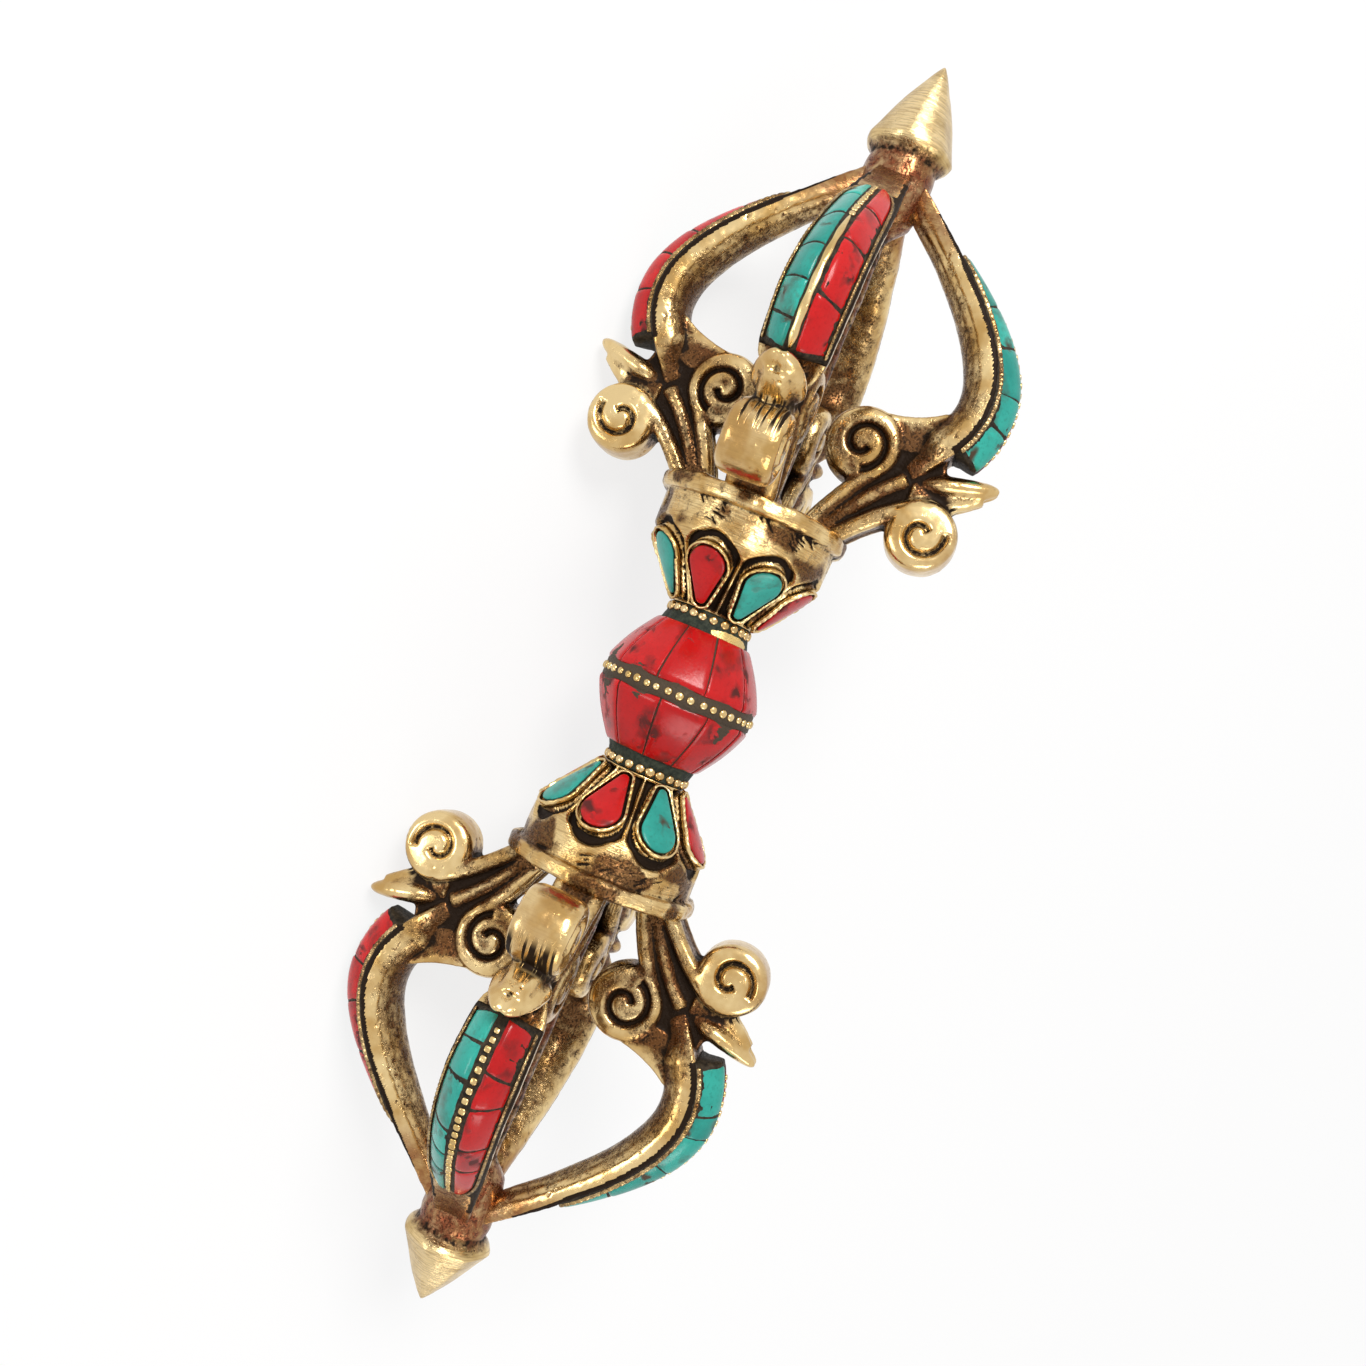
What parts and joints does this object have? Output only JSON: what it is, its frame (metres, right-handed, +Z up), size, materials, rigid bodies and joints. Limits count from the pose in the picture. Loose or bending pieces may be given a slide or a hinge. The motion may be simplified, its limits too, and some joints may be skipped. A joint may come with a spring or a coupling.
{
  "type": "ritual sceptre",
  "caption": "Double-ended brass dorje (vajra) with prong cages on makara scroll heads, lotus cups, a coral hub bead, and coral and turquoise inlay.",
  "frame": {"origin": "on the table surface that the object lies on, under the middle of its length and width", "axes": "+X along the sceptre's axis towards the end with the shorter tip, +Z up from the table, prongs at 45 degrees to Y and Z"},
  "size_m": [0.1698, 0.04, 0.0399],
  "materials": {
    "cast_brass": "cast and filed brass, dark patina in the recesses",
    "brass_wire": "bright serrated and beaded wire",
    "coral": "polished coral-coloured chips",
    "turquoise": "polished turquoise-coloured chips with brown veins",
    "cement": "dark setting cement"
  },
  "bodies": {
    "root": {"hub_core": "cast_brass", "hub_coral": "coral", "hub_band_beads": "brass_wire", "left_collar": "cement", "left_collar_beads": "brass_wire", "left_lotus": "cast_brass", "left_lotus_coral": "coral", "left_lotus_turquoise": "turquoise", "left_lotus_wires": "brass_wire", "left_central_prong": "cast_brass", "right_collar": "cement", "right_collar_beads": "brass_wire", "right_lotus": "cast_brass", "right_lotus_coral": "coral", "right_lotus_turquoise": "turquoise", "right_lotus_wires": "brass_wire", "right_central_prong": "cast_brass", "left_top_back_prong": "cast_brass", "left_top_back_bed": "cement", "left_top_back_coral": "coral", "left_top_back_turquoise": "turquoise", "left_top_back_wires": "brass_wire", "left_top_front_prong": "cast_brass", "left_top_front_bed": "cement", "left_top_front_coral": "coral", "left_top_front_turquoise": "turquoise", "left_top_front_wires": "brass_wire", "left_bottom_front_prong": "cast_brass", "left_bottom_front_bed": "cement", "left_bottom_front_coral": "coral", "left_bottom_front_turquoise": "turquoise", "left_bottom_front_wires": "brass_wire", "left_bottom_back_prong": "cast_brass", "left_bottom_back_bed": "cement", "left_bottom_back_coral": "coral", "left_bottom_back_turquoise": "turquoise", "left_bottom_back_wires": "brass_wire", "right_top_back_prong": "cast_brass", "right_top_back_bed": "cement", "right_top_back_coral": "coral", "right_top_back_turquoise": "turquoise", "right_top_back_wires": "brass_wire", "right_top_front_prong": "cast_brass", "right_top_front_bed": "cement", "right_top_front_coral": "coral", "right_top_front_turquoise": "turquoise", "right_top_front_wires": "brass_wire", "right_bottom_front_prong": "cast_brass", "right_bottom_front_bed": "cement", "right_bottom_front_coral": "coral", "right_bottom_front_turquoise": "turquoise", "right_bottom_front_wires": "brass_wire", "right_bottom_back_prong": "cast_brass", "right_bottom_back_bed": "cement", "right_bottom_back_coral": "coral", "right_bottom_back_turquoise": "turquoise", "right_bottom_back_wires": "brass_wire"}
  },
  "joints": []
}
